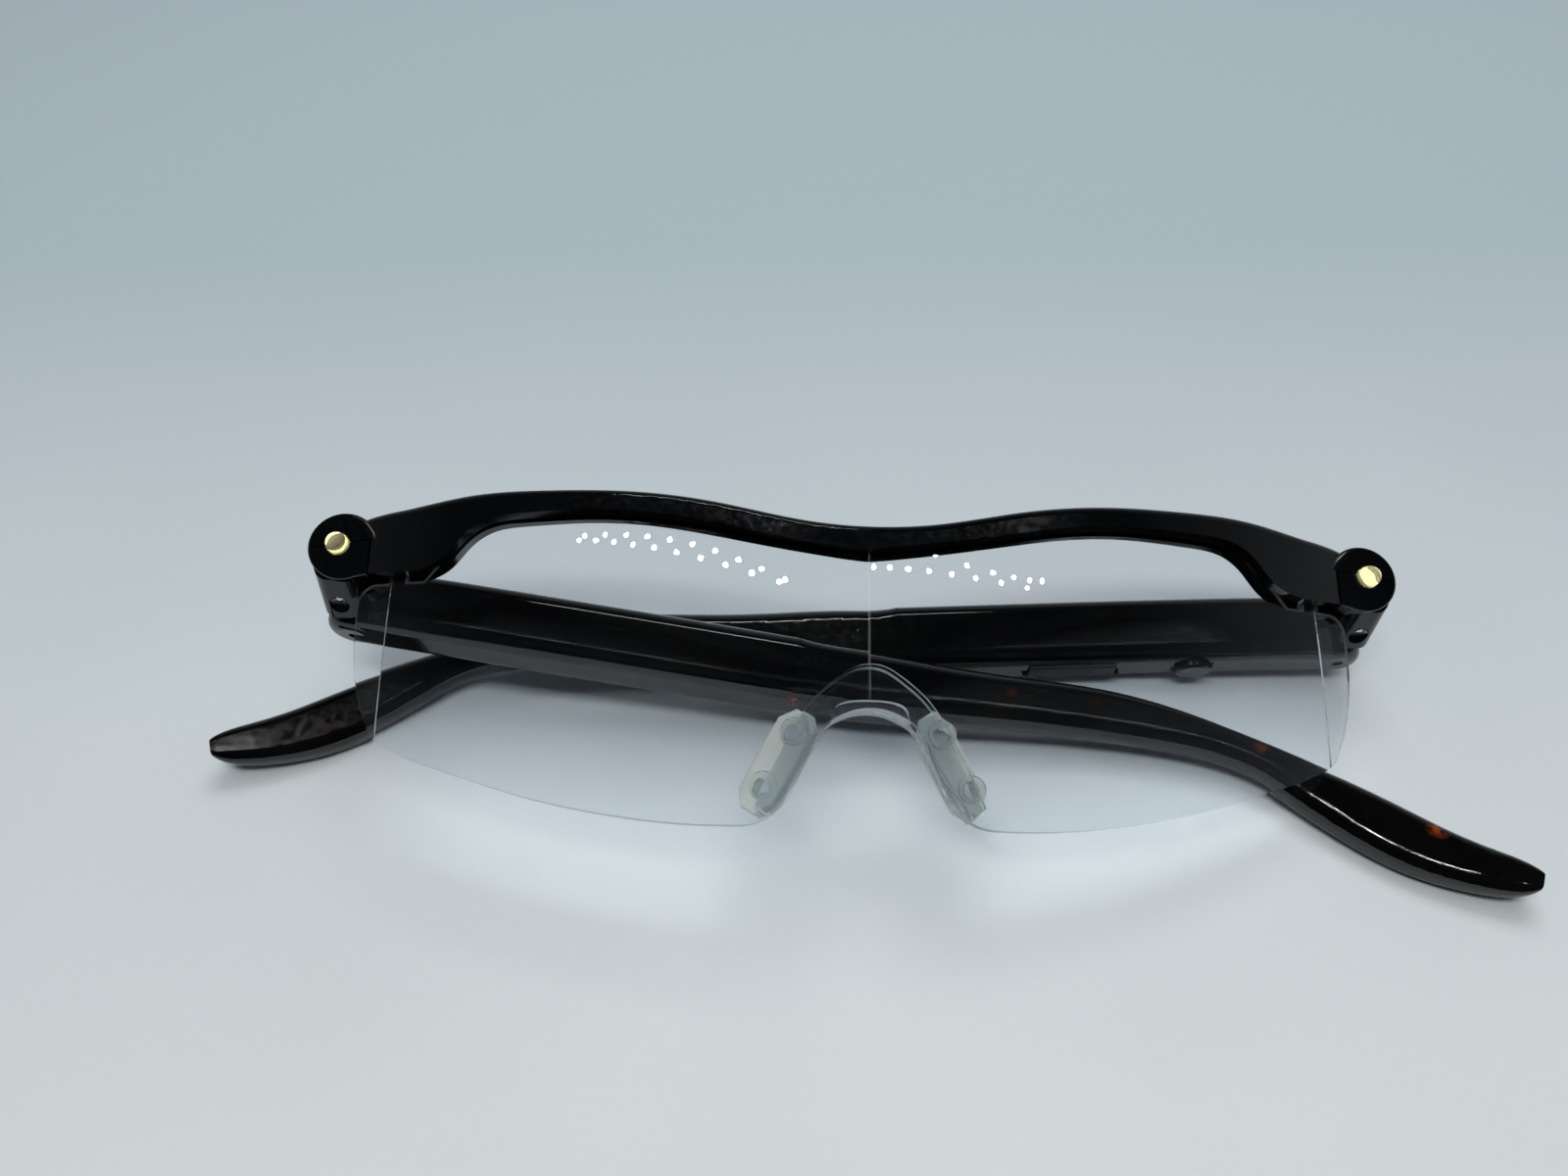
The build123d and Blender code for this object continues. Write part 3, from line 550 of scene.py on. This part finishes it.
def clear_plastic(name, colour, index, smooth, dull, haze_mm, dust_cover, veils, frost,
                  clarity=1.0, line_frost=0.0):
    """A see-through plastic, smooth to dull, with dust specks, a frosted rim and two veils."""
    material, place = new_material(name)
    noise = add_node(material, "TexNoise", "Fac", {"Scale": per_mm(haze_mm), "Detail": 4.0},
                     Vector=place)
    rough = add_node(material, "MapRange", "Result", {**haze, "To_Min": smooth, "To_Max": dull},
                     Value=noise)
    clear = {"IOR": index, "Transmission_Weight": clarity, "Base_Color": linear(colour)}
    surface = add_node(material, "BsdfPrincipled", "BSDF", clear, Roughness=rough)
    rim = rim_share(material)
    frosted = add_node(material, "MapRange", "Result", {"To_Max": frost}, Value=rim)
    dust = specks(material, place, clear_dust_mm, dust_cover)
    cover = add_node(material, "Math", "Value", {"operation": "MAXIMUM"}, _0=dust, _1=frosted)
    if line_frost:
        line = middle_line(material, place)
        line = add_node(material, "MapRange", "Result", {"To_Max": line_frost}, Value=line)
        cover = add_node(material, "Math", "Value", {"operation": "MAXIMUM"}, _0=cover, _1=line)
    scatter = add_node(material, "BsdfPrincipled", "BSDF", scattering)
    covered = add_node(material, "MixShader", "Shader", None, _0=cover, _1=surface, _2=scatter)
    face_veil, rim_veil = veils
    dimming = add_node(material, "Mix", "_2", colour_mix, _0=rim, _6=linear(face_veil),
                       _7=linear(rim_veil))
    veil = add_node(material, "BsdfTransparent", "BSDF", None, Color=dimming)
    shadow = add_node(material, "LightPath", "Is Shadow Ray")
    whole = add_node(material, "MixShader", "Shader", None, _0=shadow, _1=covered, _2=veil)
    add_node(material, "OutputMaterial", None, Surface=whole)
    return material


print("scattering plastic has roughness", scattering["Roughness"])

# %% [markdown]
# ## The four clear materials
# The lens is acrylic, index 1.49, pressed to its curve and cut to its outline, and clean but for
# a faint haze. The bracket is moulded polycarbonate, index 1.58, with more haze, since fingers
# touch it often. The lamps are clear epoxy, index 1.53, cast round their chips. The pads are soft
# silicone, index 1.41. One recipe serves all four, since they differ in how much, not in kind.

# %% Clear materials
lens_acrylic = clear_plastic(
    "lens_acrylic", "#fbfdff", 1.49, smooth=0.0, dull=0.012, haze_mm=3.0, dust_cover=0.02,
    veils=("#f4f6f8", "#5a626a"), frost=0.15, line_frost=0.09)
bracket_polycarbonate = clear_plastic(
    "bracket_polycarbonate", "#f8fafa", 1.58, smooth=0.02, dull=0.10, haze_mm=1.2,
    dust_cover=0.02, veils=("#e2e7ec", "#a8b0b8"), frost=0.18)
lamp_epoxy = clear_plastic(
    "lamp_epoxy", "#fffdf4", 1.53, smooth=0.0, dull=0.02, haze_mm=1.0, dust_cover=0.0,
    veils=("#fbfbf6", "#fbfbf6"), frost=0.0)
milky_silicone = clear_plastic(
    "milky_silicone", "#e6e7de", 1.41, smooth=0.35, dull=0.55, haze_mm=1.5, dust_cover=0.04,
    veils=("#ccd3d8", "#b8c0c6"), frost=0.2, clarity=0.8)
print("made", lens_acrylic.name, bracket_polycarbonate.name, lamp_epoxy.name, milky_silicone.name)

# %% [markdown]
# ## Small parts
# The phosphor over the diode chip is a yellow resin. It takes in the blue of daylight and gives it
# back as yellow, so it looks brighter than paint. That brightness is painted light here: a little
# glow of its own, the same under any lamp. The hinge pins are blackened steel, and the other metal
# is plain turned steel. The cell is wrapped in aluminium foil, the boards are solder mask over
# glass cloth, the chips and the switch are black epoxy, and the port's cover is a soft matt
# rubber. At this size they differ in colour, metal and gloss alone, so one recipe with one grain
# serves them all. The real grain is finer than a render shows, so it is drawn 0.2 to 2 mm wide.

# %% Small-part materials
grain_relief = {"Strength": 0.1, "Distance": 0.05 * MM}


def grained(name, bright_code, dark_code, grain_mm, metallic, smooth, dull, painted_glow=0.0):
    """An opaque finish whose colour and roughness follow one fine grain."""
    material, place = new_material(name)
    noise = add_node(material, "TexNoise", "Fac", {"Scale": per_mm(grain_mm), "Detail": 3.0},
                     Vector=place)
    grain = add_node(material, "MapRange", "Result", soft_patches, Value=noise)
    shade = add_node(material, "Mix", "_2", colour_mix, _0=grain, _6=linear(dark_code),
                     _7=linear(bright_code))
    rough = add_node(material, "MapRange", "Result", {"To_Min": smooth, "To_Max": dull},
                     Value=grain)
    bumps = add_node(material, "Bump", "Normal", grain_relief, Height=grain)
    finish = {"Metallic": metallic, "Emission_Color": linear(bright_code),
              "Emission_Strength": painted_glow}
    surface = add_node(material, "BsdfPrincipled", "BSDF", finish, Base_Color=shade,
                       Roughness=rough, Normal=bumps)
    add_node(material, "OutputMaterial", None, Surface=surface)
    return material


# In each row: the bright and the dark of the grain, its size in millimetres, how much it is a
# metal, and its roughness from smooth to dull.
# The phosphor's glow is painted light: an emission that stands in for how bright it looks.
phosphor = grained("lamp_phosphor", "#fffbd2", "#f6ee9a", 0.25, 0.0, 0.25, 0.45, painted_glow=1.1)
black_steel = grained("blackened_steel", "#1c1d1f", "#121314", 0.3, 1.0, 0.3, 0.5)
turned_steel = grained("turned_steel", "#c6c8ca", "#a4a7aa", 0.3, 1.0, 0.22, 0.4)
cell_foil = grained("cell_foil", "#cfd2d5", "#b9bdc1", 2.0, 1.0, 0.25, 0.42)
white_mask = grained("white_solder_mask", "#f4f2e6", "#e3e0d0", 0.8, 0.0, 0.25, 0.4)
solder_mask = grained("solder_mask", "#1d6a3a", "#14532c", 0.8, 0.0, 0.3, 0.45)
black_epoxy = grained("black_epoxy", "#242527", "#191a1b", 0.2, 0.0, 0.5, 0.7)
matt_rubber = grained("matt_rubber", "#1a1b1c", "#121314", 0.3, 0.0, 0.45, 0.65)
print("made eight small-part materials")

# %% [markdown]
# ## Dress the nodes
# A node could be hidden and a finer mesh put in its place. Here the CAD shapes are true already,
# down to the split lines and the screws, so every node keeps its shape, and its material slots get
# the finish of what the real piece is made of.

# %% Assign materials
finishes = {
    gloss_abs: ("browbar", "head_cover_left", "head_cover_right"),
    smoke: ("arm_left", "arm_right", "arm_cover_left", "arm_cover_right", "power_button"),
    lens_acrylic: ("lens",),
    bracket_polycarbonate: ("nose_bracket",),
    milky_silicone: ("nose_pad_left", "nose_pad_right"),
    lamp_epoxy: ("lamp_dome_left", "lamp_dome_right"),
    phosphor: ("lamp_chip_left", "lamp_chip_right"),
    turned_steel: ("cover_screws", "port_pin", "charge_socket", "battery_tabs"),
    black_steel: ("hinge_pin_left", "hinge_pin_right"),
    cell_foil: ("battery_cell",),
    white_mask: ("lamp_board_left", "lamp_board_right"),
    solder_mask: ("circuit_board",),
    black_epoxy: ("control_chip", "power_switch"),
    matt_rubber: ("port_cover",),
}
for material, names in finishes.items():
    for name in names:
        for slot in nodes[name].material_slots:
            slot.material = material
dressed = [name for names in finishes.values() for name in names]
bare = sorted(set(nodes) - set(dressed))
print("dressed", len(dressed), "of", len(nodes), "nodes; bare:", bare)
